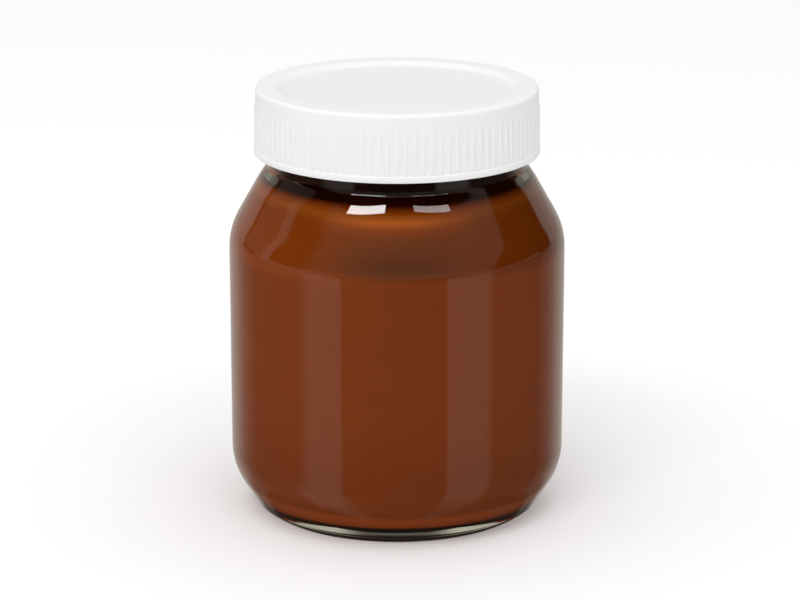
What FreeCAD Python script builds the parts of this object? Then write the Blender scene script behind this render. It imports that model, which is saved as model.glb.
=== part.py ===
import FreeCAD, Part
import math
import os
from collections import namedtuple

import Sketcher

# A jar of chocolate spread: a blown glass jar, its filling and a ribbed plastic screw cap.
# The jar stands on the XY plane with its axis on Z, and all lengths are in millimetres.

# Driving dimensions. "Inset" is measured inwards from the jar's wall, "drop" downwards.
SIZES = {
    # glass jar, outside
    "jar_radius": 43.0,
    "jar_height": 109.1,          # resting plane to the sealing land of the rim
    "heel_inset": 7.25,           # wall to the sharp corner of heel cone and resting plane
    "heel_height": 11.8,          # height of the sharp corner of heel cone and wall
    "heel_round": 15.7,
    "foot_round": 5.3,
    "bearing_inset": 13.0,        # wall to the inner edge of the ring that the jar stands on
    "bearing_round": 1.2,
    "punt_depth": 4.0,            # how far the middle of the base is pushed up
    "punt_slope": 7.5,            # width of the slope between bearing ring and punt
    "punt_round": 8.0,
    "shoulder_inset": 10.0,       # wall to the neck
    "shoulder_drop": 16.85,       # neck root down to the sharp corner of wall and shoulder
    "shoulder_round": 17.4,
    "crown_step": 2.4,            # neck out to the flat corner where the shoulder leans in
    "crown_drop": 3.4,
    "crown_round": 30.0,
    "neck_height": 18.9,          # neck root to rim
    "neck_round": 2.2,
    "lip_round": 0.8,
    # glass jar, inside
    "glass_wall": 2.6,
    "finish_wall": 2.4,           # thickness of the neck
    "bore_drop": 1.0,             # neck root down to the corner where the bore opens out
    "bore_round": 5.0,
    "base_floor": 6.2,            # height of the cavity's floor
    "floor_round": 13.0,
    # filling
    "headspace": 22.1,            # rim to the level of the spread
    # screw cap
    "cap_height": 17.0,
    "cap_top": 1.4,               # thickness of the top
    "thread_room": 1.7,           # neck to the inside of the skirt
    "skirt_wall": 1.3,
    "skirt_draft": 0.1,           # how much narrower the skirt is at its top
    "skirt_round": 0.6,
    "collar_depth": 0.4,          # how far the bottom collar stands out of the skirt
    "collar_height": 1.65,
    "collar_round": 0.35,
    "rim_round": 0.9,
    "ring_width": 5.0,            # flat ring round the top
    "dish_width": 2.3,            # slope between ring and dished panel
    "dish_depth": 1.1,
    "dish_round": 1.6,
    "rib_count": 104,
    "rib_height": 0.25,
    "rib_foot": 0.95,             # width of a rib where it leaves the skirt
    "rib_crest": 0.38,
    "rib_fade": 2.0,              # length over which a rib runs out at its top
    "band_height": 3.4,           # smooth band above the ribs
    "rib_root": 0.4,              # how deep a rib is rooted in the skirt
}

FULL_TURN = 360.0


class Measure:
    """A length or angle together with the sheet formula that gives it."""

    def __init__(self, value, formula):
        self.value = value
        self.formula = formula

    def joined(self, sign, other, value):
        return Measure(value, f"({self.formula} {sign} {other.formula})")

    def __add__(self, other):
        return self.joined("+", other, self.value + other.value)

    def __sub__(self, other):
        return self.joined("-", other, self.value - other.value)

    def half(self):
        return Measure(self.value / 2.0, f"({self.formula} / 2)")

    def minus(self):
        return Measure(-self.value, f"(-{self.formula})")


ZERO = Measure(0.0, "0")
Corner = namedtuple("Corner", "across up rounding", defaults=[None])


def fill_sheet(doc):
    """Write the driving dimensions into the sheet and return them as measures."""
    sheet = doc.addObject("Spreadsheet::Sheet", "Sizes")
    size = {}
    for row, (name, value) in enumerate(SIZES.items(), start=1):
        sheet.set(f"A{row}", name)
        sheet.set(f"B{row}", str(value))
        sheet.setAlias(f"B{row}", name)
        size[name] = Measure(float(value), f"Sizes.{name}")
    doc.recompute()
    return size


def new_body(doc, name):
    body = doc.addObject("PartDesign::Body", name)
    body.Label = name
    body.Placement = FreeCAD.Placement()
    return body


def new_sketch(body, name, role, height=None):
    """A sketch on one of the body's own origin planes, raised by height along its normal."""
    sketch = body.newObject("Sketcher::SketchObject", name)
    plane = next(item for item in body.Origin.OriginFeatures if item.Role == role)
    sketch.AttachmentSupport = [(plane, "")]
    sketch.MapMode = "FlatFace"
    if height is not None:
        sketch.setExpression("AttachmentOffset.Base.z", height.formula)
    return sketch


def dimension(sketch, constraint, measure):
    """Add a dimensional constraint and bind it to the measure's formula."""
    index = sketch.addConstraint(constraint)
    sketch.setExpression(f"Constraints[{index}]", measure.formula)


def fix_point(sketch, geometry, end, corner):
    """Hold one point of the sketch at the corner's two measures."""
    if corner.across.value == 0.0:
        sketch.addConstraint(Sketcher.Constraint("PointOnObject", geometry, end, -2))
    else:
        across = Sketcher.Constraint("DistanceX", -1, 1, geometry, end, corner.across.value)
        dimension(sketch, across, corner.across)
    if corner.up.value == 0.0:
        sketch.addConstraint(Sketcher.Constraint("PointOnObject", geometry, end, -1))
    else:
        up = Sketcher.Constraint("DistanceY", -1, 1, geometry, end, corner.up.value)
        dimension(sketch, up, corner.up)


def rounding_arc(before, at, after, radius):
    """The arc that rounds the corner, its two tangent points and whether it turns left."""
    back = (before - at).normalize()
    ahead = (after - at).normalize()
    half_angle = back.getAngle(ahead) / 2.0
    reach = radius / math.tan(half_angle)
    first = at + back * reach
    last = at + ahead * reach
    centre = at + (back + ahead).normalize() * (radius / math.sin(half_angle))
    left = (back.cross(ahead)).z < 0.0
    start, stop = (first, last) if left else (last, first)
    angles = [math.atan2(point.y - centre.y, point.x - centre.x) for point in (start, stop)]
    if angles[1] < angles[0]:
        angles[1] += 2.0 * math.pi
    circle = Part.Circle(centre, FreeCAD.Vector(0, 0, 1), radius)
    return Part.ArcOfCircle(circle, angles[0], angles[1]), first, last, left


def draw_outline(sketch, corners):
    """Draw a closed outline through the corners, each sharp or rounded by a tangent arc."""
    count = len(corners)
    points = [FreeCAD.Vector(corner.across.value, corner.up.value, 0) for corner in corners]
    arcs = {}
    for index, corner in enumerate(corners):
        if corner.rounding is not None:
            around = points[index - 1], points[index], points[(index + 1) % count]
            arcs[index] = rounding_arc(*around, corner.rounding.value)
    lines = []
    for index in range(count):
        following = (index + 1) % count
        start = arcs[index][2] if index in arcs else points[index]
        stop = arcs[following][1] if following in arcs else points[following]
        lines.append(sketch.addGeometry(Part.LineSegment(start, stop), False))
    for index, corner in enumerate(corners):
        incoming = lines[index - 1]
        outgoing = lines[index]
        if index not in arcs:
            sketch.addConstraint(Sketcher.Constraint("Coincident", incoming, 2, outgoing, 1))
            fix_point(sketch, outgoing, 1, corner)
            continue
        arc_shape, _, _, left = arcs[index]
        arc = sketch.addGeometry(arc_shape, False)
        enter, leave = (1, 2) if left else (2, 1)
        sharp = sketch.addGeometry(Part.Point(points[index]), True)
        fix_point(sketch, sharp, 1, corner)
        sketch.addConstraint(Sketcher.Constraint("PointOnObject", sharp, 1, incoming))
        sketch.addConstraint(Sketcher.Constraint("PointOnObject", sharp, 1, outgoing))
        sketch.addConstraint(Sketcher.Constraint("Tangent", incoming, 2, arc, enter))
        sketch.addConstraint(Sketcher.Constraint("Tangent", arc, leave, outgoing, 1))
        radius = Sketcher.Constraint("Radius", arc, corner.rounding.value)
        dimension(sketch, radius, corner.rounding)


def turn(body, kind, name, sketch):
    """Turn a half section once round the jar's axis, to add or to cut."""
    feature = body.newObject(kind, name)
    feature.Profile = sketch
    feature.ReferenceAxis = (sketch, ["V_Axis"])
    feature.Angle = FULL_TURN
    return feature


def jar_landmarks(size):
    """Heights and radii that the jar, the filling and the cap share."""
    neck_root = size["jar_height"] - size["neck_height"]
    neck_radius = size["jar_radius"] - size["shoulder_inset"]
    return {
        "neck_root": neck_root,
        "neck_radius": neck_radius,
        "shoulder_corner": neck_root - size["shoulder_drop"],
        "crown_corner": neck_root - size["crown_drop"],
        "crown_radius": neck_radius + size["crown_step"],
        "bore_radius": neck_radius - size["finish_wall"],
    }


def cavity_corners(size, mark):
    """Half section of the space inside the glass, open at the rim."""
    inner_radius = size["jar_radius"] - size["glass_wall"]
    bore_corner = mark["neck_root"] - size["bore_drop"]
    mouth = size["jar_height"] + size["cap_top"]
    inner_round = size["shoulder_round"] - size["glass_wall"]
    return [
        Corner(ZERO, size["base_floor"]),
        Corner(inner_radius, size["base_floor"], size["floor_round"]),
        Corner(inner_radius, mark["shoulder_corner"], inner_round),
        Corner(mark["bore_radius"], bore_corner, size["bore_round"]),
        Corner(mark["bore_radius"], mouth),
        Corner(ZERO, mouth),
    ]


def round_edges(body, name, base, radius, chosen):
    """Fillet the edges of the base feature that the chosen test picks."""
    edges = [f"Edge{number}" for number, edge in enumerate(base.Shape.Edges, 1) if chosen(edge)]
    fillet = body.newObject("PartDesign::Fillet", name)
    fillet.Base = (base, edges)
    fillet.setExpression("Radius", radius.formula)
    return fillet


def build_glass_jar(doc, size, mark):
    """Blown jar: pushed-up base on a bearing ring, coned heel, shoulder and plain finish."""
    body = new_body(doc, "glass_jar")
    bearing = size["jar_radius"] - size["bearing_inset"]
    outside = new_sketch(body, "jar_outside", "XZ_Plane")
    draw_outline(outside, [
        Corner(ZERO, size["punt_depth"]),
        Corner(bearing - size["punt_slope"], size["punt_depth"], size["punt_round"]),
        Corner(bearing, ZERO, size["bearing_round"]),
        Corner(size["jar_radius"] - size["heel_inset"], ZERO, size["foot_round"]),
        Corner(size["jar_radius"], size["heel_height"], size["heel_round"]),
        Corner(size["jar_radius"], mark["shoulder_corner"], size["shoulder_round"]),
        Corner(mark["crown_radius"], mark["crown_corner"], size["crown_round"]),
        Corner(mark["neck_radius"], mark["neck_root"], size["neck_round"]),
        Corner(mark["neck_radius"], size["jar_height"]),
        Corner(ZERO, size["jar_height"]),
    ])
    turn(body, "PartDesign::Revolution", "jar_form", outside)
    inside = new_sketch(body, "jar_inside", "XZ_Plane")
    draw_outline(inside, cavity_corners(size, mark))
    cavity = turn(body, "PartDesign::Groove", "jar_cavity", inside)
    doc.recompute()

    def at_rim(edge):
        return edge.BoundBox.ZMin > size["jar_height"].value - 0.01 and len(edge.Vertexes) == 1

    round_edges(body, "lip", cavity, size["lip_round"], at_rim)
    return body


def build_spread(doc, size, mark):
    """The spread fills the cavity against the glass, up to its level under the neck."""
    body = new_body(doc, "spread")
    filled = new_sketch(body, "filled_space", "XZ_Plane")
    draw_outline(filled, cavity_corners(size, mark))
    turn(body, "PartDesign::Revolution", "poured_form", filled)
    level = size["jar_height"] - size["headspace"]
    over = new_sketch(body, "above_level", "XY_Plane", level)
    centre = Part.Circle(FreeCAD.Vector(0, 0, 0), FreeCAD.Vector(0, 0, 1), SIZES["jar_radius"])
    circle = over.addGeometry(centre, False)
    over.addConstraint(Sketcher.Constraint("Coincident", circle, 3, -1, 1))
    radius = Sketcher.Constraint("Radius", circle, SIZES["jar_radius"])
    dimension(over, radius, size["jar_radius"])
    surface = body.newObject("PartDesign::Pocket", "surface")
    surface.Profile = over
    surface.Type = "ThroughAll"
    surface.Reversed = True
    return body


def cap_landmarks(size, mark):
    """Heights and radii of the cap, which sits with its top on the jar's rim."""
    top = size["jar_height"] + size["cap_top"]
    skirt_inner = mark["neck_radius"] + size["thread_room"]
    skirt_outer = skirt_inner + size["skirt_wall"]
    bottom = top - size["cap_height"]
    return {
        "top": top,
        "bottom": bottom,
        "collar_top": bottom + size["collar_height"],
        "skirt_inner": skirt_inner,
        "skirt_outer": skirt_outer,
        "skirt_upper": skirt_outer - size["skirt_draft"],
    }


def rib_section(body, name, height, surface, crest_height, size):
    """Cross-section of one rib: a trapezoid rooted in the skirt, pointing along X."""
    sketch = new_sketch(body, name, "XY_Plane", height)
    root = surface - size["rib_root"]
    crest = surface + crest_height
    foot = size["rib_foot"].half()
    tip = size["rib_crest"].half()
    draw_outline(sketch, [
        Corner(root, foot.minus()),
        Corner(crest, tip.minus()),
        Corner(crest, tip),
        Corner(root, foot),
    ])
    return sketch


def build_cap(doc, size, mark):
    """Moulded screw cap: dished top, ribbed skirt that runs out under a smooth band, collar."""
    cap = cap_landmarks(size, mark)
    body = new_body(doc, "lid")
    collar = cap["skirt_outer"] + size["collar_depth"]
    ring_inner = cap["skirt_upper"] - size["ring_width"]
    panel = ring_inner - size["dish_width"]
    dish = cap["top"] - size["dish_depth"]
    shell = new_sketch(body, "cap_section", "XZ_Plane")
    draw_outline(shell, [
        Corner(cap["skirt_inner"], cap["bottom"]),
        Corner(collar, cap["bottom"], size["collar_round"]),
        Corner(collar, cap["collar_top"], size["collar_round"]),
        Corner(cap["skirt_outer"], cap["collar_top"]),
        Corner(cap["skirt_upper"], cap["top"], size["rim_round"]),
        Corner(ring_inner, cap["top"], size["dish_round"]),
        Corner(panel, dish, size["dish_round"]),
        Corner(ZERO, dish),
        Corner(ZERO, dish - size["cap_top"]),
        Corner(panel, dish - size["cap_top"]),
        Corner(ring_inner, size["jar_height"]),
        Corner(cap["skirt_inner"], size["jar_height"], size["skirt_round"]),
    ])
    turn(body, "PartDesign::Revolution", "cap_shell", shell)

    rib_start = cap["collar_top"] - size["collar_round"]
    rib_end = cap["top"] - size["band_height"]
    low = rib_section(body, "rib_low", rib_start, cap["skirt_outer"], size["rib_height"], size)
    fade = rib_end - size["rib_fade"]
    high = rib_section(body, "rib_high", fade, cap["skirt_upper"], size["rib_height"], size)
    buried = size["rib_root"].half().minus()
    end = rib_section(body, "rib_end", rib_end, cap["skirt_upper"], buried, size)
    rib = body.newObject("PartDesign::AdditiveLoft", "rib")
    rib.Profile = low
    rib.Sections = [high, end]
    rib.Ruled = True
    doc.recompute()

    ribs = body.newObject("PartDesign::PolarPattern", "ribs")
    ribs.Originals = [rib]
    ribs.Axis = (shell, ["V_Axis"])
    ribs.Angle = FULL_TURN
    ribs.setExpression("Occurrences", size["rib_count"].formula)
    body.Tip = ribs
    return body


def check_document(doc, bodies):
    """Stop if any object failed or any body has no valid shape."""
    for item in doc.Objects:
        if "Invalid" in item.State or "Error" in item.State:
            raise RuntimeError(f"{item.Label} failed: {item.State}")
    for body in bodies:
        if body.Shape.isNull() or not body.Shape.isValid():
            raise RuntimeError(f"{body.Label} has no valid shape")
        if len(body.Shape.Solids) != 1:
            raise RuntimeError(f"{body.Label} has {len(body.Shape.Solids)} solids")


def main():
    doc = FreeCAD.newDocument("SpreadJar")
    size = fill_sheet(doc)
    mark = jar_landmarks(size)
    bodies = [
        build_glass_jar(doc, size, mark),
        build_spread(doc, size, mark),
        build_cap(doc, size, mark),
    ]
    doc.recompute()
    check_document(doc, bodies)
    os.makedirs("parts", exist_ok=True)
    for body in bodies:
        body.Shape.exportStep(f"parts/{body.Label}.step")
        print(f"{body.Label}: {body.Shape.Volume / 1000.0:.1f} cubic centimetres")


main()
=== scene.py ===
"""A glass jar of chocolate spread with a ribbed white screw lid, dressed and lit in a studio.

Every length in a size field is in millimetres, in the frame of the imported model: the jar stands
on z = 0 with its axis on x = y = 0, and the camera looks along +Y. Every angle in a field is in
degrees.
"""

import logging
import math
from collections.abc import Callable, Mapping, Sequence
from dataclasses import dataclass, field
from enum import Enum

import bpy
import numpy as np
from mathutils import Matrix, Vector, noise


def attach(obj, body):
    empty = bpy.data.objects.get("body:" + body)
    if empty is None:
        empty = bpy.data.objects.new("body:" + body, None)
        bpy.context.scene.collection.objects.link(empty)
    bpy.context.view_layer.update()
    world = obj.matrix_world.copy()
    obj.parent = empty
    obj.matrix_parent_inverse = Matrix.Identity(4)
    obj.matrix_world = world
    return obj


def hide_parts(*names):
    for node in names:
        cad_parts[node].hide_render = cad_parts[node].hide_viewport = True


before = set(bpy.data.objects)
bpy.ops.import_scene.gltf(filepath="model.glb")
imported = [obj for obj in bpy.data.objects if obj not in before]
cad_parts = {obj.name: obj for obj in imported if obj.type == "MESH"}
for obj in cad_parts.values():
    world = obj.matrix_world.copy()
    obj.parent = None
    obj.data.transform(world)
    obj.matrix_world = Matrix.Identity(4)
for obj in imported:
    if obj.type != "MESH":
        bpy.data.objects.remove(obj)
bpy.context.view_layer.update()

log = logging.getLogger("chocolate_spread_jar")

MM = 0.001
ON_AXIS = 1e-6
SAME_POINT = 1e-4
NO_TURN = 1e-4
SHORT_RUN = 4  # a run shorter than this many edge bands gets no points between its ends
SLANT_BASE = 50.0  # a droop or a lean is the shift over this many degrees
WHITE = "#FFFFFF"

Point = tuple[float, float]
Span = tuple[float, float]
Shift = tuple[np.ndarray, np.ndarray]
Amounts = tuple[tuple[float, float], ...]
Colours = tuple[tuple[float, str], ...]
Relief = Callable[[float, float, np.ndarray], Shift]


# ---------------------------------------------------------------- outlines and turned meshes

@dataclass(frozen=True)
class Corner:
    """A corner of a turned outline: how far across and up it is, and how it is rounded."""

    across: float
    up: float
    rounding: float = 0.0


def corner_arc(before: Point, corner: Corner, after: Point, turn_step: float) -> list[Point]:
    """Points along the rounding of one corner.

    Args:
        before: A point on the run that comes in.
        corner: The corner itself.
        after: A point on the run that goes out.
        turn_step: The largest turn between two points.

    Returns:
        The points in order, or the bare corner where it isn't rounded.
    """
    at = Vector((corner.across, corner.up))
    back = (Vector(before) - at).normalized()
    ahead = (Vector(after) - at).normalized()
    opening = back.angle(ahead)
    if corner.rounding <= 0.0 or opening > math.pi - NO_TURN:
        return [(at.x, at.y)]
    setback = corner.rounding / math.tan(opening / 2)
    centre = at + (back + ahead).normalized() * corner.rounding / math.sin(opening / 2)
    start = at + back * setback - centre
    turn = math.pi - opening
    side = 1.0 if back.x * ahead.y - back.y * ahead.x < 0 else -1.0
    count = max(2, math.ceil(math.degrees(turn) / turn_step))
    arc = []
    for i in range(count + 1):
        spoke = Matrix.Rotation(side * turn * i / count, 2) @ start
        arc.append((centre.x + spoke.x, centre.y + spoke.y))
    return arc


def rounded_outline(corners: Sequence[Corner], turn_step: float = 5.0, run_step: float = 3.0,
                    edge_band: float = 0.25) -> list[Point]:
    """A dense outline through rounded corners, from the axis out and back to the axis.

    Args:
        corners: The corners in order; the first and last lie on the axis.
        turn_step: The largest turn between two points of a rounding.
        run_step: The longest straight step along a run.
        edge_band: A short step at both ends of a run, which keeps its shading flat.

    Returns:
        The outline's points, across and up.
    """
    places = [(c.across, c.up) for c in corners]
    arcs = [[places[0]]]
    for i in range(1, len(corners) - 1):
        arcs.append(corner_arc(places[i - 1], corners[i], places[i + 1], turn_step))
    arcs.append([places[-1]])
    outline = list(arcs[0])
    for previous, following in zip(arcs, arcs[1:]):
        start, end = Vector(previous[-1]), Vector(following[0])
        length = (end - start).length
        if length > SHORT_RUN * edge_band:
            inner = max(1, math.ceil((length - 2 * edge_band) / run_step))
            along = [edge_band + (length - 2 * edge_band) * k / inner for k in range(inner + 1)]
            outline += [tuple(start.lerp(end, s / length)) for s in along]
        outline += following
    kept = [q for p, q in zip(outline, outline[1:]) if math.dist(p, q) > SAME_POINT]
    return [outline[0], *kept]


def turned_mesh(name: str, outline: Sequence[Point], columns: int,
                relief: Relief) -> bpy.types.Object:
    """A closed form turned about the axis.

    Args:
        name: The new object's name.
        outline: Points from the axis round to the axis, in millimetres, inside to the left.
        columns: How many vertices each ring has.
        relief: Gives the shift outwards and up of one ring at each angle.

    Returns:
        The object, smooth shaded.
    """
    angles = np.arange(columns) * (2 * math.pi / columns)
    rings, starts, total = [], [], 0
    for across, up in outline:
        on_axis = across < ON_AXIS
        ring_angles = angles[:1] if on_axis else angles
        shift_out, shift_up = relief(across, up, ring_angles)
        radius = 0.0 * ring_angles if on_axis else across + shift_out
        ring = np.stack([radius * np.sin(ring_angles), -radius * np.cos(ring_angles),
                         up + shift_up + 0.0 * ring_angles], axis=1)
        rings.append(ring)
        starts.append(total)
        total += len(ring)
    faces = []
    index = np.arange(columns)
    following = (index + 1) % columns
    for i in range(len(outline) - 1):
        low, high = starts[i], starts[i + 1]
        if len(rings[i]) == 1:
            faces += [(low, high + b, high + a) for a, b in zip(index, following)]
        elif len(rings[i + 1]) == 1:
            faces += [(low + a, low + b, high) for a, b in zip(index, following)]
        else:
            faces += [(low + a, low + b, high + b, high + a) for a, b in zip(index, following)]
    mesh = bpy.data.meshes.new(name)
    mesh.from_pydata((np.concatenate(rings) * MM).tolist(), [], faces)
    mesh.update()
    mesh.shade_smooth()
    made = bpy.data.objects.new(name, mesh)
    bpy.context.collection.objects.link(made)
    return made


def smooth_step(value: np.ndarray | float, start: float, end: float) -> np.ndarray | float:
    """0 before start, 1 after end, and a smooth rise between."""
    share = np.clip((value - start) / (end - start), 0.0, 1.0)
    return share * share * (3 - 2 * share)


def soft_ripple(across: float, up: float, angles: np.ndarray, scale: float,
                seed: float) -> np.ndarray:
    """Smooth noise from about -1 to 1 at one ring of a turned form.

    Args:
        across: The ring's radius.
        up: The ring's height.
        angles: The angles round the ring.
        scale: The size of the ripples, in millimetres.
        seed: Moves the noise, so that two surfaces differ.

    Returns:
        One value for each angle.
    """
    return np.array([noise.noise(Vector((across * math.sin(a) / scale + seed,
                                         -across * math.cos(a) / scale, up / scale)))
                     for a in angles])


# ---------------------------------------------------------------- finishes

def linear(hex_colour: str) -> tuple[float, float, float, float]:
    """Turns an sRGB colour to the linear values that a shader takes.

    Args:
        hex_colour: The colour, such as "#A05A2C".

    Returns:
        Red, green and blue, and an alpha of 1.
    """
    channels = [int(hex_colour[i:i + 2], 16) / 255 for i in (1, 3, 5)]
    r, g, b = (c / 12.92 if c <= 0.04045 else ((c + 0.055) / 1.055) ** 2.4 for c in channels)
    return (r, g, b, 1.0)


def add_node(tree: bpy.types.NodeTree, kind: str,
             inputs: Mapping[str | int, object] | None = None,
             **settings: object) -> bpy.types.Node:
    """Adds a node.

    Args:
        tree: The node tree it goes in.
        kind: The node's type name.
        inputs: A value or an output socket for each named or numbered input.
        **settings: The node's own properties.

    Returns:
        The new node.
    """
    node = tree.nodes.new(kind)
    for key, value in settings.items():
        setattr(node, key, value)
    for key, value in (inputs or {}).items():
        if isinstance(value, bpy.types.NodeSocket):
            tree.links.new(value, node.inputs[key])
        else:
            node.inputs[key].default_value = value
    return node


def new_material(name: str) -> bpy.types.Material:
    """An empty node material.

    Args:
        name: The material's name.

    Returns:
        The material, with no nodes in it.
    """
    material = bpy.data.materials.new(name)
    material.use_nodes = True
    material.node_tree.nodes.clear()
    return material


@dataclass(frozen=True)
class ContainerGlass:
    """Soda-lime glass, blown in a mould: clear, fire-polished, faintly green where it is thick.

    The mould leaves the skin slightly uneven, in swells about as wide as a finger, so straight
    reflections waver a little.
    """

    tint: str = "#F6FBF8"
    ior: float = 1.52
    roughness: float = 0.0
    waver_size: float = 16.0
    waver_depth: float = 0.012
    waver_detail: float = 1.0
    waver_roughness: float = 0.4

    def make(self) -> bpy.types.Material:
        """The glass as a material.

        Returns:
            Clear glass with a gently uneven skin.
        """
        material = new_material("blown_soda_lime_glass")
        tree = material.node_tree
        place = add_node(tree, "ShaderNodeTexCoord")
        waver = add_node(tree, "ShaderNodeTexNoise", {
            "Vector": place.outputs["Object"], "Scale": 1 / (self.waver_size * MM),
            "Detail": self.waver_detail, "Roughness": self.waver_roughness})
        skin = add_node(tree, "ShaderNodeBump", {
            "Height": waver.outputs["Fac"], "Strength": 1.0, "Distance": self.waver_depth * MM})
        glass = add_node(tree, "ShaderNodeBsdfPrincipled", {
            "Base Color": linear(self.tint), "IOR": self.ior, "Roughness": self.roughness,
            "Transmission Weight": 1.0, "Normal": skin.outputs["Normal"]})
        add_node(tree, "ShaderNodeOutputMaterial", {"Surface": glass.outputs["BSDF"]})
        return material


@dataclass(frozen=True)
class CocoaSpread:
    """Hazelnut and cocoa spread, poured warm: a dense, even, satin paste.

    Against the glass it is wetted out, so it shows its plain colour with no gloss of its own. Light
    and shade are painted into that colour. Up the shoulder, a bright orange-brown band just under
    the level is partly a thinner smear and partly painted light. The middle of the shoulder is
    painted darker than its sides as painted shade. A dark band under the lid and a near-black open
    top are painted shade from the lid. The left of the shoulder is painted lighter and its right
    darker. The middle of the underside is painted paler and browner, standing in for the light seen
    through the thick glass floor. The heights of its zones are measured from the foot of the jar. A
    table of painted light and shade gives how bright the body is painted at each height: brighter
    just above the floor and darker low down.
    """

    paste: str = "#783717"
    paste_deep: str = "#703214"
    # painted shade: the open top is painted near black for the shade under the lid
    open_top: str = "#050200"
    roughness: float = 0.6
    gloss: float = 0.0
    mottle_size: float = 9.0
    mottle_detail: float = 4.0
    mottle_roughness: float = 0.55
    floor: float = 5.8
    floor_blend: float = 1.0
    # painted: the middle of the underside, paler and browner for the light seen through the glass
    # floor
    underside: str = "#6A4426"
    underside_rim: Span = (22.0, 28.0)
    # painted light and shade by height: brighter just above the floor, darker low on the body
    low_light: Amounts = (
        (5.5, 1.5), (7.5, 1.5), (9.5, 0.9), (15.0, 0.85), (27.0, 0.95), (40.0, 1.0),
    )
    low: float = 68.0
    level: float = 87.0
    # band just under the level, partly a thinner smear and partly painted light; painted shade
    # under the
    # lid; and in the middle, a darker lower shoulder as painted shade
    # painted light and shade up the shoulder, in the middle (front and back) and on the flanks: a
    # bright
    painted_front_zones: Colours = (
        (70.2, "#683417"), (71.6, "#56290F"), (73.4, "#4F2409"), (76.0, "#57290F"),
        (79.4, "#642D0D"), (81.4, "#7A360F"), (82.9, "#9D4E16"), (84.0, "#863E04"),
        (86.2, "#3F1104"),
    )
    painted_flank_zones: Colours = (
        (70.6, "#703316"), (71.8, "#672B07"), (82.4, "#672B07"), (84.2, "#74380D"),
        (85.3, "#6B2F0A"), (86.3, "#4A1C05"),
    )
    front_to_side: Span = (2.0, 24.0)
    # and the share on the body in the next two fields
    # painted light: the colour is multiplied lighter on the left and darker on the right, with the
    # reach
    painted_side_light: Span = (1.45, 0.72)  # at the left and at the right of the shoulder
    side_reach: float = 36.0
    side_light_on_body: float = 0.3

    def zone_ramp(self, tree: bpy.types.NodeTree, share: bpy.types.NodeSocket,
                  zones: Colours) -> bpy.types.Node:
        """A colour ramp up the shoulder, which paints its light and shade.

        Args:
            tree: The material's node tree.
            share: How far up the shoulder a place is, from 0 to 1.
            zones: The height and colour of each stop.

        Returns:
            The ramp; its alpha is 0 where the plain paste shows.
        """
        ramp_node = add_node(tree, "ShaderNodeValToRGB", {"Fac": share})
        # The top stop paints the open top near black: painted shade under the lid.
        stops = [(self.low, self.paste, 0.0), *((height, colour, 1.0) for height, colour in zones),
                 (self.level, self.open_top, 1.0)]
        ramp = ramp_node.color_ramp
        # A new element can start anywhere: the loop below gives each one its place.
        while len(ramp.elements) < len(stops):
            ramp.elements.new(0.5)
        for element, (height, colour, cover) in zip(ramp.elements, stops):
            element.position = (height - self.low) / (self.level - self.low)
            element.color = (*linear(colour)[:3], cover)
        return ramp_node

    def body_and_shoulder(self, tree: bpy.types.NodeTree, place: bpy.types.NodeSocket,
                          axes: bpy.types.Node) -> bpy.types.NodeSocket:
        """The mottled paste of the body, the painted light and shade of the shoulder, and painted
        light across both that is lighter on the left and darker on the right.

        Args:
            tree: The material's node tree.
            place: The place on the spread.
            axes: The same place, split by axis.

        Returns:
            The colour.
        """
        mottle = add_node(tree, "ShaderNodeTexNoise", {
            "Vector": place, "Scale": 1 / (self.mottle_size * MM),
            "Detail": self.mottle_detail, "Roughness": self.mottle_roughness})
        body = add_node(tree, "ShaderNodeMix", {
            0: mottle.outputs["Fac"], 6: linear(self.paste_deep), 7: linear(self.paste)},
            data_type="RGBA")
        share = add_node(tree, "ShaderNodeMapRange", {
            "Value": axes.outputs["Z"], "From Min": self.low * MM, "From Max": self.level * MM})
        front = self.zone_ramp(tree, share.outputs["Result"], self.painted_front_zones)
        side = self.zone_ramp(tree, share.outputs["Result"], self.painted_flank_zones)
        off_middle = add_node(tree, "ShaderNodeMath", {0: axes.outputs["X"]}, operation="ABSOLUTE")
        to_side = add_node(tree, "ShaderNodeMapRange", {
            "Value": off_middle.outputs[0], "From Min": self.front_to_side[0] * MM,
            "From Max": self.front_to_side[1] * MM}, interpolation_type="SMOOTHSTEP")
        shoulder = add_node(tree, "ShaderNodeMix", {
            0: to_side.outputs["Result"], 6: front.outputs["Color"], 7: side.outputs["Color"]},
            data_type="RGBA")
        whole = add_node(tree, "ShaderNodeMix", {
            0: front.outputs["Alpha"], 6: body.outputs[2], 7: shoulder.outputs[2]},
            data_type="RGBA")
        # painted light: lighter on the left, darker on the right
        across = add_node(tree, "ShaderNodeMapRange", {
            "Value": axes.outputs["X"], "From Min": -self.side_reach * MM,
            "From Max": self.side_reach * MM,
            "To Min": self.painted_side_light[0], "To Max": self.painted_side_light[1]})
        # How much of the painted side light falls: all of it on the shoulder, part of it on the
        # body.
        uneven = add_node(tree, "ShaderNodeMapRange", {
            "Value": front.outputs["Alpha"], "To Min": self.side_light_on_body, "To Max": 1.0})
        lit = add_node(tree, "ShaderNodeMix", {
            0: uneven.outputs["Result"], 6: whole.outputs[2], 7: across.outputs["Result"]},
            data_type="RGBA", blend_type="MULTIPLY")
        return lit.outputs[2]

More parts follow.
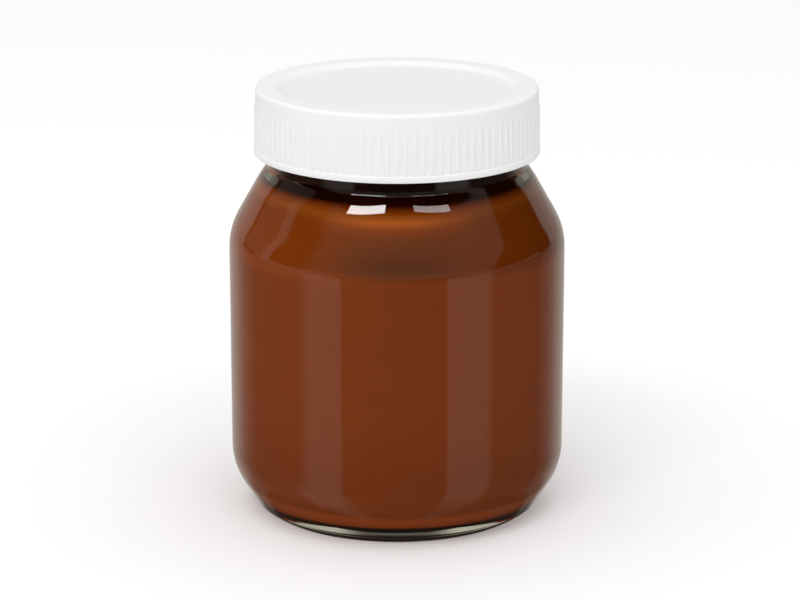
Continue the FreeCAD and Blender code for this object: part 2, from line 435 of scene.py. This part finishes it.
    def painted_light_by_height(self, tree: bpy.types.NodeTree, colour: bpy.types.NodeSocket,
                      axes: bpy.types.Node) -> bpy.types.NodeSocket:
        """Painted light and shade by height: brighter just above the floor, darker low on the body.

        Args:
            tree: The material's node tree.
            colour: The colour so far.
            axes: The place on the spread, split by axis.

        Returns:
            The colour, brighter or darker.
        """
        (first, _), *_, (last, _) = self.low_light
        up_body = add_node(tree, "ShaderNodeMapRange", {
            "Value": axes.outputs["Z"], "From Min": first * MM, "From Max": last * MM})
        depth = add_node(tree, "ShaderNodeFloatCurve", {"Value": up_body.outputs["Result"]})
        curve = depth.mapping.curves[0]
        depth.mapping.use_clip = False
        stops = [((height - first) / (last - first), amount) for height, amount in self.low_light]
        curve.points[0].location, curve.points[1].location = stops[0], stops[-1]
        for share, amount in stops[1:-1]:
            curve.points.new(share, amount)
        depth.mapping.update()
        lit = add_node(tree, "ShaderNodeVectorMath", {
            0: colour, "Scale": depth.outputs["Value"]}, operation="SCALE")
        return lit.outputs["Vector"]

    def with_underside(self, tree: bpy.types.NodeTree, colour: bpy.types.NodeSocket,
                       place: bpy.types.NodeSocket, axes: bpy.types.Node) -> bpy.types.NodeSocket:
        """The paler, browner underside painted in the middle of the spread's floor, standing in for
        the light seen through the thick glass floor.

        Args:
            tree: The material's node tree.
            colour: The colour so far.
            place: The place on the spread.
            axes: The same place, split by axis.

        Returns:
            The colour with the underside in it.
        """
        flat = add_node(tree, "ShaderNodeVectorMath", {
            0: place, 1: (1.0, 1.0, 0.0)}, operation="MULTIPLY")
        radius = add_node(tree, "ShaderNodeVectorMath", {
            0: flat.outputs["Vector"]}, operation="LENGTH")
        rim = add_node(tree, "ShaderNodeMapRange", {
            "Value": radius.outputs["Value"], "From Min": self.underside_rim[0] * MM,
            "From Max": self.underside_rim[1] * MM}, interpolation_type="SMOOTHSTEP")
        above = add_node(tree, "ShaderNodeMapRange", {
            "Value": axes.outputs["Z"], "From Min": self.floor * MM,
            "From Max": (self.floor + self.floor_blend) * MM})
        plain = add_node(tree, "ShaderNodeMath", {
            0: rim.outputs["Result"], 1: above.outputs["Result"]}, operation="MAXIMUM")
        whole = add_node(tree, "ShaderNodeMix", {
            0: plain.outputs[0], 6: linear(self.underside), 7: colour}, data_type="RGBA")
        return whole.outputs[2]

    def make(self) -> bpy.types.Material:
        """The spread as a material.

        Returns:
            A satin paste with no gloss of its own.
        """
        material = new_material("cocoa_spread_paste")
        tree = material.node_tree
        place = add_node(tree, "ShaderNodeTexCoord").outputs["Object"]
        axes = add_node(tree, "ShaderNodeSeparateXYZ", {"Vector": place})
        colour = self.body_and_shoulder(tree, place, axes)
        colour = self.painted_light_by_height(tree, colour, axes)
        colour = self.with_underside(tree, colour, place, axes)
        paste = add_node(tree, "ShaderNodeBsdfPrincipled", {
            "Base Color": colour, "Roughness": self.roughness, "Specular IOR Level": self.gloss})
        add_node(tree, "ShaderNodeOutputMaterial", {"Surface": paste.outputs["BSDF"]})
        return material


@dataclass(frozen=True)
class MouldedPolypropylene:
    """White polypropylene, injection moulded in a lightly polished tool.

    It is satin and slightly translucent. The tool's polish marks leave a grain finer than shows;
    it is drawn as coarse as it needs to show.
    """

    colour: str = "#F2F2F2"
    ior: float = 1.49
    roughness: float = 0.38
    gloss: float = 0.32
    grain_size: float = 0.9
    grain_depth: float = 0.006
    grain_detail: float = 2.0
    scatter: float = 0.25
    scatter_depth: float = 1.0
    scatter_radius: tuple[float, float, float] = (1.0, 0.95, 0.9)

    def make(self) -> bpy.types.Material:
        """The plastic as a material.

        Returns:
            White plastic with a fine grain and a little light under its skin.
        """
        material = new_material("moulded_white_polypropylene")
        tree = material.node_tree
        place = add_node(tree, "ShaderNodeTexCoord")
        grain = add_node(tree, "ShaderNodeTexNoise", {
            "Vector": place.outputs["Object"], "Scale": 1 / (self.grain_size * MM),
            "Detail": self.grain_detail})
        skin = add_node(tree, "ShaderNodeBump", {
            "Height": grain.outputs["Fac"], "Strength": 1.0, "Distance": self.grain_depth * MM})
        plastic = add_node(tree, "ShaderNodeBsdfPrincipled", {
            "Base Color": linear(self.colour), "IOR": self.ior, "Roughness": self.roughness,
            "Specular IOR Level": self.gloss, "Subsurface Weight": self.scatter,
            "Subsurface Scale": self.scatter_depth * MM, "Subsurface Radius": self.scatter_radius,
            "Normal": skin.outputs["Normal"]})
        add_node(tree, "ShaderNodeOutputMaterial", {"Surface": plastic.outputs["BSDF"]})
        return material


# ---------------------------------------------------------------- the jar's pieces

@dataclass
class GlassJar:
    """The blown glass jar: a round body with a deep shoulder, a short neck and a pushed-up base.

    A field that ends in round is the radius of a corner's rounding. The base and the floor over it
    sag together: wholly inside the first radius of floor_sag_span, and not at all outside the
    second. The mould leaves a very fine ring or two round the foot.
    """

    radius: float = 43.0
    height: float = 109.1
    wall: float = 2.6
    columns: int = 256
    punt: float = 2.6
    punt_radius: float = 22.5
    punt_round: float = 8.0
    bearing_inner: float = 30.0
    bearing_round: float = 1.2
    foot_inset: float = 7.25
    foot_round: float = 5.3
    heel_top: float = 11.8
    heel_round: float = 15.7
    shoulder: float = 73.35
    shoulder_round: float = 17.4
    shoulder_inner_round: float = 14.8
    crown: float = 86.8
    crown_radius: float = 35.4
    crown_round: float = 30.0
    neck_foot: float = 90.2
    neck_radius: float = 33.0
    neck_round: float = 2.2
    neck_bore: float = 30.6
    neck_bore_foot: float = 89.2
    neck_bore_round: float = 5.0
    lip_round: float = 0.8
    floor: float = 5.8
    floor_round: float = 6.0
    floor_reach: float = 29.0
    floor_band: float = 1.0
    punt_band: float = 0.5
    floor_sag: float = 1.6
    floor_sag_span: Span = (4.0, 14.0)
    foot_ring: float = 0.05
    foot_ring_pitch: float = 2.05
    foot_ring_from: Span = (0.3, 0.8)
    foot_ring_to: Span = (3.2, 4.0)
    foot_ring_inner: float = 35.0
    waver: float = 0.03
    waver_size: float = 24.0
    waver_seed: float = 3.1
    waver_from: Span = (2.0, 14.0)
    waver_to: Span = (88.0, 95.0)

    def outer_corners(self) -> list[Corner]:
        """The outside of the glass.

        Returns:
            Its corners, from the middle of the base up to the lip.
        """
        return [
            Corner(0.0, self.punt), Corner(self.punt_radius, self.punt, self.punt_round),
            Corner(self.bearing_inner, 0.0, self.bearing_round),
            Corner(self.radius - self.foot_inset, 0.0, self.foot_round),
            Corner(self.radius, self.heel_top, self.heel_round),
            Corner(self.radius, self.shoulder, self.shoulder_round),
            Corner(self.crown_radius, self.crown, self.crown_round),
            Corner(self.neck_radius, self.neck_foot, self.neck_round),
            Corner(self.neck_radius, self.height, self.lip_round),
        ]

    def inner_corners(self) -> list[Corner]:
        """The inside of the glass.

        Returns:
            Its corners, from the lip down to the middle of the floor.
        """
        bore = self.radius - self.wall
        return [
            Corner(self.neck_bore, self.height, self.lip_round),
            Corner(self.neck_bore, self.neck_bore_foot, self.neck_bore_round),
            Corner(bore, self.shoulder, self.shoulder_inner_round),
            Corner(bore, self.floor, self.floor_round), Corner(0.0, self.floor),
        ]

    def on_floor(self, across: float, up: float) -> bool:
        """Whether a point of an outline lies on the jar's floor or under it."""
        return across < self.floor_reach and up < self.floor + self.floor_band

    def sag(self, across: float) -> float:
        """How far the floor sags, at one distance from the axis."""
        return -self.floor_sag * (1 - float(smooth_step(across, *self.floor_sag_span)))

    def relief(self, across: float, up: float, angles: np.ndarray) -> Shift:
        """The slight unevenness of blown glass, none of it at the bearing ring or the lip.

        It only goes inwards, so that the glass stays inside its true size.

        Args:
            across: The ring's radius.
            up: The ring's height.
            angles: The angles round the ring.

        Returns:
            The shift outwards and the shift up, at each angle.
        """
        if up > self.punt - self.punt_band and self.on_floor(across, up):
            return 0.0 * angles, 0.0 * angles + self.sag(across)
        fade = float(smooth_step(up, *self.waver_from))
        fade *= 1 - float(smooth_step(up, *self.waver_to))
        inward = soft_ripple(across, up, angles, self.waver_size, self.waver_seed) - 1.0
        foot = float(smooth_step(up, *self.foot_ring_from))
        foot *= (1 - float(smooth_step(up, *self.foot_ring_to))) * (across > self.foot_ring_inner)
        ring = foot * self.foot_ring * (math.cos(2 * math.pi * up / self.foot_ring_pitch) - 1)
        return self.waver * fade * inward + ring, 0.0 * angles

    def build(self) -> bpy.types.Object:
        """The glass as one closed mesh."""
        outline = rounded_outline(self.outer_corners() + self.inner_corners(), turn_step=3.0)
        return turned_mesh("blown_glass_jar", outline, self.columns, self.relief)

    def dress(self, glass: bpy.types.Object, finish: ContainerGlass) -> None:
        """Gives the glass its finish, and lets lamps reach the spread through it.

        Args:
            glass: The built glass.
            finish: What it is made of.
        """
        glass.data.materials.append(finish.make())
        glass.visible_shadow = False
        glass.visible_diffuse = False
        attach(glass, "root")
        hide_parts("glass_jar")


@dataclass
class Spread:
    """The spread: it fills the jar from the floor to the neck and is pressed against the wall."""

    level: float = 87.0
    top_radius: float = 32.14
    top_round: float = 0.4
    press: float = 0.15
    jar: GlassJar = field(default_factory=GlassJar)
    columns: int = 192
    swell: float = 0.35
    swell_size: float = 11.0
    swell_seed: float = 8.4
    swell_band: Span = (0.3, 0.05)  # how far under the level the swell starts and is whole

    def corners(self) -> list[Corner]:
        """The spread's outline: the jar's inside, moved just into the wall.

        Returns:
            Its corners, from the middle of the floor to the middle of the level top.
        """
        jar, press = self.jar, self.press
        bore, low = jar.radius - jar.wall + press, jar.floor - press
        return [
            Corner(0.0, low), Corner(bore, low, jar.floor_round + press),
            Corner(bore, jar.shoulder, jar.shoulder_inner_round + press),
            Corner(self.top_radius, self.level, self.top_round), Corner(0.0, self.level),
        ]

    def relief(self, across: float, up: float, angles: np.ndarray) -> Shift:
        """A gently uneven open surface; nothing on the pressed sides.

        Args:
            across: The ring's radius.
            up: The ring's height.
            angles: The angles round the ring.

        Returns:
            The shift outwards and the shift up, at each angle.
        """
        if self.jar.on_floor(across, up):
            return 0.0 * angles, 0.0 * angles + self.jar.sag(across)
        start, whole = self.swell_band
        open_top = float(smooth_step(up, self.level - start, self.level - whole))
        ripple = soft_ripple(across, up, angles, self.swell_size, self.swell_seed)
        return 0.0 * angles, open_top * (ripple * self.swell - self.swell)

    def build(self) -> bpy.types.Object:
        """The spread as one closed mesh."""
        outline = rounded_outline(self.corners(), run_step=2.5)
        return turned_mesh("cocoa_spread_fill", outline, self.columns, self.relief)

    def dress(self, spread: bpy.types.Object, finish: CocoaSpread) -> None:
        """Gives the spread its finish.

        Args:
            spread: The built spread.
            finish: What it is made of.
        """
        spread.data.materials.append(finish.make())
        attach(spread, "root")
        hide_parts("spread")


@dataclass
class ScrewLid:
    """The white screw lid: ribbed skirt, smooth top band, plain collar and a sunk top panel."""

    low: float = 93.5
    top: float = 110.5
    top_round: float = 0.9
    bore: float = 34.7
    bore_round: float = 0.5
    mouth_round: float = 0.3
    skirt: float = 36.0
    skirt_top: float = 35.9
    skirt_band: float = 0.15
    collar: float = 36.4
    collar_top: float = 95.15
    collar_round: float = 0.35
    collar_step: float = 0.1
    collar_step_round: float = 0.12
    ring_inner: float = 30.9
    panel: float = 28.6
    panel_level: float = 109.4
    panel_round: float = 1.6
    seat: float = 109.1
    ribs: int = 104
    columns_per_rib: int = 12
    rib_height: float = 0.27
    rib_width: float = 0.95
    rib_start: float = 95.3
    rib_lead: float = 0.1
    rib_rise: float = 0.15
    rib_fade: Span = (104.6, 107.1)

    def corners(self) -> list[Corner]:
        """The lid's outline.

        Returns:
            Its corners, from under its top round the skirt to the middle of the panel.
        """
        return [
            Corner(0.0, self.seat), Corner(self.bore, self.seat, self.bore_round),
            Corner(self.bore, self.low, self.mouth_round),
            Corner(self.collar, self.low, self.collar_round),
            Corner(self.collar, self.collar_top, self.collar_round),
            Corner(self.skirt, self.collar_top + self.collar_step, self.collar_step_round),
            Corner(self.skirt_top, self.top, self.top_round),
            Corner(self.ring_inner, self.top, self.panel_round),
            Corner(self.panel, self.panel_level, self.panel_round), Corner(0.0, self.panel_level),
        ]

    def relief(self, across: float, up: float, angles: np.ndarray) -> Shift:
        """The grip ribs on the outside of the skirt.

        Args:
            across: The ring's radius.
            up: The ring's height.
            angles: The angles round the ring.

        Returns:
            The shift outwards and the shift up, at each angle.
        """
        start, (fade_from, fade_to) = self.rib_start - self.rib_lead, self.rib_fade
        on_skirt = self.skirt_top - self.skirt_band < across < self.skirt + self.skirt_band
        if not on_skirt or not start < up < fade_to:
            return 0.0 * angles, 0.0 * angles
        strength = float(smooth_step(up, start, self.rib_start + self.rib_rise))
        strength *= 1 - float(smooth_step(up, fade_from, fade_to))
        pitch = 2 * math.pi / self.ribs
        away = np.abs((angles + pitch / 2) % pitch - pitch / 2) * across
        crest = np.clip(1 - (away / (self.rib_width / 2)) ** 2, 0.0, 1.0)
        return self.rib_height * strength * crest, 0.0 * angles

    def build(self) -> bpy.types.Object:
        """The lid as one closed mesh, with whole columns on every rib."""
        outline = rounded_outline(self.corners(), turn_step=15.0, run_step=1.2, edge_band=0.15)
        return turned_mesh("ribbed_screw_lid", outline, self.ribs * self.columns_per_rib,
                           self.relief)

    def dress(self, lid: bpy.types.Object, finish: MouldedPolypropylene) -> None:
        """Gives the lid its finish.

        Args:
            lid: The built lid.
            finish: What it is made of.
        """
        lid.data.materials.append(finish.make())
        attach(lid, "root")
        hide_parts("lid")


# ---------------------------------------------------------------- the studio

class Tone(Enum):
    """How bright a part of the studio looks in a reflection; 1 is white."""

    BLACK = 0.0
    DARK = 0.05
    DEEP = 0.09
    DIM = 0.17
    HAZE = 0.22
    SOFT = 0.28
    STRIP = 0.46
    PALE = 0.5
    BACK = 0.58
    WHITE = 1.0
    FILL_WINDOW = 5.2
    KEY_WINDOW = 17.0


class Sight(Enum):
    """How a surround is seen: mirrored in a surface, or through the glass."""

    MIRRORED = "mirrored"
    THROUGH = "through"


def direction(azimuth: float, elevation: float) -> Vector:
    """The unit vector of a direction; azimuth 0 is the camera's side and 90 its right hand."""
    turn, rise = math.radians(azimuth), math.radians(elevation)
    return Vector((math.cos(rise) * math.sin(turn), -math.cos(rise) * math.cos(turn),
                   math.sin(rise)))


def glowing_sheet(name: str, azimuths: Sequence[float], elevations: Sequence[float],
                  glow: np.ndarray, distance: float, droop: float = 0.0,
                  colour: str = WHITE) -> bpy.types.Object:
    """A sheet of cloth round the jar, which glows by its own amount at each point.

    Args:
        name: The new object's name.
        azimuths: The azimuth of each column.
        elevations: The elevation of each row.
        glow: The brightness at each row and column.
        distance: How far the sheet stands from the jar.
        droop: How far it hangs lower away from the front.
        colour: The cloth's own colour.

    Returns:
        The sheet, which neither the camera nor the light on a matt surface sees.
    """
    points = [distance * MM * direction(azimuth, elevation - droop * abs(azimuth) / SLANT_BASE)
              for elevation in elevations for azimuth in azimuths]
    width, rows = len(azimuths), len(elevations)
    faces = [(at, at + 1, at + width + 1, at + width)
             for row in range(rows - 1) for at in range(row * width, (row + 1) * width - 1)]
    mesh = bpy.data.meshes.new(name)
    mesh.from_pydata(points, [], faces)
    painted = mesh.attributes.new("glow", "FLOAT", "POINT")
    painted.data.foreach_set("value", glow.astype(float).ravel())
    sheet = bpy.data.objects.new(name, mesh)
    bpy.context.collection.objects.link(sheet)
    sheet.visible_camera = sheet.visible_diffuse = sheet.visible_shadow = False
    sheet.visible_volume_scatter = False
    material = new_material(f"{name}_cloth")
    tree = material.node_tree
    amount = add_node(tree, "ShaderNodeAttribute", attribute_name="glow")
    lit = add_node(tree, "ShaderNodeEmission", {
        "Color": linear(colour), "Strength": amount.outputs["Fac"]})
    add_node(tree, "ShaderNodeOutputMaterial", {"Surface": lit.outputs["Emission"]})
    mesh.materials.append(material)
    return sheet


@dataclass(frozen=True)
class Window:
    """The bright face of a soft window, given by the directions that it covers."""

    name: str
    azimuths: Span
    elevations: Span
    tone: Tone
    droop: float
    distance: float = 2000.0
    columns: int = 13
    rows: int = 4

    def build(self) -> None:
        """Builds the window's face, with crisp edges; it doesn't show through the glass."""
        face = glowing_sheet(
            self.name, np.linspace(*self.azimuths, self.columns),
            np.linspace(*self.elevations, self.rows),
            np.full((self.rows, self.columns), self.tone.value), self.distance, self.droop)
        face.visible_transmission = False


@dataclass(frozen=True)
class Patch:
    """A soft-edged patch of a surround, given by the directions that it covers.

    Each edge fades over its own blur, and side_blur has one for the left and one for the right. A
    droop hangs the patch lower away from the front, and a lean slants its two sides.
    """

    azimuths: Span
    elevations: Span
    tone: Tone
    side_blur: Span = (1.0, 1.0)
    low_blur: float = 1.0
    top_blur: float = 1.0
    droop: float = 0.0
    lean: float = 0.0
    wrap: float = 60.0  # azimuths this far left of the patch belong to its far right

    @staticmethod
    def band(values: np.ndarray, span: Span, blurs: Span) -> np.ndarray:
        """1 inside a span and 0 outside it, with a soft edge at each end.

        Args:
            values: The values to place.
            span: Where the band starts and ends.
            blurs: How wide each of its two edges is.

        Returns:
            One value from 0 to 1 for each.
        """
        (start, end), (first, last) = span, (blur / 2 for blur in blurs)
        rise = smooth_step(values, start - first, start + first)
        return rise * (1 - smooth_step(values, end - last, end + last))

    def cover(self, azimuth: np.ndarray, elevation: np.ndarray) -> np.ndarray:
        """How much of each direction the patch covers.

        Args:
            azimuth: The azimuth of each direction.
            elevation: The elevation of each direction.

        Returns:
            One value from 0 to 1 for each.
        """
        wrapped = np.where(azimuth < self.azimuths[0] - self.wrap, azimuth + 360, azimuth)
        turned = wrapped - self.lean * elevation / SLANT_BASE
        level = elevation + self.droop * np.abs(azimuth) / SLANT_BASE
        return (self.band(turned, self.azimuths, self.side_blur)
                * self.band(level, self.elevations, (self.low_blur, self.top_blur)))


@dataclass(frozen=True)
class Surround:
    """A dome of cloth round the jar, painted patch over patch, that only gloss and glass see."""

    name: str
    sight: Sight
    patches: tuple[Patch, ...]
    colour: str
    distance: float = 2200.0
    step: float = 1.0

    def build(self) -> None:
        """Builds the dome; it is seen, but it lights nothing."""
        azimuths = np.arange(-180.0, 180.0 + self.step / 2, self.step)
        elevations = np.arange(-90.0, 90.0 + self.step / 2, self.step)
        azimuth, elevation = np.meshgrid(azimuths, elevations)
        glow = np.full(azimuth.shape, Tone.WHITE.value)
        for patch in self.patches:
            glow = glow + (patch.tone.value - glow) * patch.cover(azimuth, elevation)
        dome = glowing_sheet(self.name, azimuths, elevations, glow, self.distance,
                             colour=self.colour)
        dome.visible_glossy = self.sight is Sight.MIRRORED
        dome.visible_transmission = self.sight is Sight.THROUGH
        dome.data.materials[0].cycles.emission_sampling = "NONE"


@dataclass(frozen=True)
class Lamp:
    """A soft window lamp that looks at the middle of the jar, given by its direction."""

    name: str
    azimuth: float
    elevation: float
    watts: float
    width: float
    height: float
    distance: float = 1700.0
    aim: float = 55.0

    def build(self) -> None:
        """Builds the lamp; only its light shows."""
        light = bpy.data.lights.new(self.name, "AREA")
        light.shape = "RECTANGLE"
        light.energy, light.size, light.size_y = self.watts, self.width * MM, self.height * MM
        lamp = bpy.data.objects.new(self.name, light)
        bpy.context.collection.objects.link(lamp)
        away = direction(self.azimuth, self.elevation)
        lamp.location = away * self.distance * MM + Vector((0, 0, self.aim * MM))
        lamp.rotation_euler = away.to_track_quat("Z", "Y").to_euler()
        lamp.visible_glossy = lamp.visible_transmission = lamp.visible_camera = False


@dataclass(frozen=True)
class Camera:
    """The camera: a long lens, a little above the jar and tipped down to it."""

    lens: float = 139.37
    sensor: float = 36.0
    near: float = 10.0
    far: float = 100000.0
    place: tuple[float, float, float] = (0.76, -768.49, 272.14)
    tip: float = 15.854

    def build(self) -> None:
        """Builds the camera and hands it to the scene."""
        data = bpy.data.cameras.new("studio_camera")
        data.lens, data.sensor_width = self.lens, self.sensor
        data.clip_start, data.clip_end = self.near * MM, self.far * MM
        camera = bpy.data.objects.new("studio_camera", data)
        bpy.context.collection.objects.link(camera)
        camera.location = Vector(self.place) * MM
        camera.rotation_euler = (math.radians(90 - self.tip), 0.0, 0.0)
        bpy.context.scene.camera = camera


@dataclass
class Studio:
    """A pale floor, an even white surround, soft windows and the cards that the glass reflects.

    Later patches of a surround lie over earlier ones.
    """

    floor_size: float = 12000.0
    floor_colour: str = WHITE
    floor_bounce: str = "#DEDEDE"
    level_light: float = 0.98
    overhead_light: float = 0.80
    mirrored_colour: str = "#FFFDF3"
    through_colour: str = "#FFFAE4"
    camera: Camera = Camera()
    lamps: tuple[Lamp, ...] = (
        Lamp("key_window", -24, 53, watts=5.4, width=800, height=420),
        Lamp("fill_window", 28, 53, watts=2.0, width=800, height=420),
        Lamp("side_panel", -72, 18, watts=1.5, width=1200, height=900),
    )
    windows: tuple[Window, ...] = (
        Window("key_window_face", (-47, -12), (50.8, 57.0), Tone.KEY_WINDOW, droop=8.5),
        Window("fill_window_face", (17, 52), (52.0, 56.8), Tone.FILL_WINDOW, droop=8.0),
    )
    mirrored: tuple[Patch, ...] = (
        Patch((-185, 185), (-95, 64), Tone.BLACK),
        Patch((129, 231), (-1, 64), Tone.PALE, (4, 4)),
        Patch((112, 248), (-38, 0), Tone.DIM),
        Patch((132, 228), (-30, 0), Tone.BACK, (32, 32), low_blur=12),
        Patch((112, 248), (-42, -31), Tone.DIM, low_blur=4, top_blur=8),
        Patch((60, 300), (-95, -38), Tone.DARK, (2, 2)),
        Patch((-116, -60), (-40, 0), Tone.DEEP, (14, 2)),
        Patch((60, 112), (-40, 0), Tone.DEEP, (2, 14)),
        Patch((-60, 60), (-95, -8), Tone.DARK, (4, 4), top_blur=10),
        Patch((-112, -45), (-0.5, 2.5), Tone.SOFT),
        Patch((50, 112), (0.5, 2.5), Tone.SOFT),
        Patch((-129, -97), (2, 44), Tone.DIM, (3, 3), lean=12),
        Patch((-104, -96), (0, 30), Tone.PALE, (4, 1), top_blur=8, lean=8),
        Patch((-62, 58), (3, 46), Tone.HAZE, (14, 4), top_blur=2, droop=1),
        Patch((12, 62), (3, 46), Tone.SOFT, (6, 1), top_blur=2, droop=1, lean=42),
        Patch((-64, -34), (-72, -32), Tone.HAZE, (12, 4), low_blur=12, top_blur=12),
        Patch((34, 62), (-72, -32), Tone.DIM, (4, 10), low_blur=12, top_blur=12),
        Patch((-66, -38), (-40, -0.5), Tone.STRIP, (12, 3), low_blur=24, top_blur=1),
        Patch((-76, -44), (-50, -26), Tone.PALE, (16, 8), low_blur=20, top_blur=14),
        Patch((34, 66), (-40, 0), Tone.STRIP, (3, 8), low_blur=24, top_blur=1),
    )
    through: tuple[Patch, ...] = (
        Patch((-185, 185), (-95, 64), Tone.BLACK),
        Patch((128, 232), (-20, 14), Tone.DIM, (8, 8)),
        Patch((132, 228), (14, 64), Tone.PALE, (6, 6)),
        Patch((118, 242), (27, 64), Tone.PALE, (6, 6)),
        Patch((154, 206), (-2, 14), Tone.PALE, (6, 6)),
        Patch((166, 194), (-20, 6), Tone.DIM, (12, 12)),
        Patch((166, 194), (6, 16), Tone.BLACK, (12, 12)),
        Patch((166, 194), (16, 64), Tone.DEEP, (12, 12)),
    )

    def build_floor(self) -> None:
        """Builds the floor: white to the eye, a little greyer to the light that it throws back."""
        half = self.floor_size * MM / 2
        mesh = bpy.data.meshes.new("studio_floor")
        mesh.from_pydata([(-half, -half, 0), (half, -half, 0), (half, half, 0), (-half, half, 0)],
                         [], [(0, 1, 2, 3)])
        floor = bpy.data.objects.new("studio_floor", mesh)
        bpy.context.collection.objects.link(floor)
        floor.visible_glossy = floor.visible_transmission = False
        material = new_material("matt_white_floor")
        tree = material.node_tree
        path = add_node(tree, "ShaderNodeLightPath")
        seen_paint = add_node(tree, "ShaderNodeBsdfDiffuse", {"Color": linear(self.floor_colour)})
        bounce_paint = add_node(tree, "ShaderNodeBsdfDiffuse", {
            "Color": linear(self.floor_bounce)})
        paint = add_node(tree, "ShaderNodeMixShader", {
            0: path.outputs["Is Camera Ray"], 1: bounce_paint.outputs["BSDF"],
            2: seen_paint.outputs["BSDF"]})
        add_node(tree, "ShaderNodeOutputMaterial", {"Surface": paint.outputs["Shader"]})
        mesh.materials.append(material)

    def build_world(self) -> None:
        """Builds the world: white to the eye and to the glass, and an even light on everything."""
        world = bpy.data.worlds.new("white_surround")
        world.use_nodes = True
        tree = world.node_tree
        tree.nodes.clear()
        path = add_node(tree, "ShaderNodeLightPath")
        seen = add_node(tree, "ShaderNodeMath", {
            0: path.outputs["Is Camera Ray"], 1: path.outputs["Is Transmission Ray"]},
            operation="MAXIMUM")
        shown = add_node(tree, "ShaderNodeMath", {
            0: seen.outputs[0], 1: path.outputs["Is Glossy Ray"]}, operation="MAXIMUM")
        place = add_node(tree, "ShaderNodeTexCoord")
        height = add_node(tree, "ShaderNodeSeparateXYZ", {"Vector": place.outputs["Generated"]})
        ambient = add_node(tree, "ShaderNodeMapRange", {
            "Value": height.outputs["Z"], "To Min": self.level_light,
            "To Max": self.overhead_light})
        strength = add_node(tree, "ShaderNodeMapRange", {
            "Value": shown.outputs[0], "To Min": ambient.outputs["Result"], "To Max": 1.0})
        glow = add_node(tree, "ShaderNodeBackground", {
            "Color": linear(WHITE), "Strength": strength.outputs["Result"]})
        add_node(tree, "ShaderNodeOutputWorld", {"Surface": glow.outputs["Background"]})
        bpy.context.scene.world = world

    def build(self) -> None:
        """Builds everything that stands round the jar."""
        self.build_floor()
        self.build_world()
        for lamp in self.lamps:
            lamp.build()
        for window in self.windows:
            window.build()
        Surround("mirrored_surround", Sight.MIRRORED, self.mirrored, self.mirrored_colour).build()
        Surround("surround_behind_glass", Sight.THROUGH, self.through, self.through_colour).build()
        self.camera.build()
        bpy.context.scene.view_settings.view_transform = "Standard"


def main() -> None:
    """Builds the jar, what it holds and the studio, and reports each piece."""
    logging.basicConfig(level=logging.INFO, format="%(message)s")
    jar = GlassJar()
    glass = jar.build()
    jar.dress(glass, ContainerGlass())
    log.info("glass jar: %d faces", len(glass.data.polygons))
    spread = Spread(jar=jar)
    filling = spread.build()
    spread.dress(filling, CocoaSpread(level=spread.level, floor=jar.floor))
    log.info("spread: %d faces", len(filling.data.polygons))
    lid = ScrewLid()
    cover = lid.build()
    lid.dress(cover, MouldedPolypropylene())
    log.info("lid: %d faces", len(cover.data.polygons))
    Studio().build()
    log.info("studio: floor, windows, cards and camera")


if __name__ == "__main__":
    main()
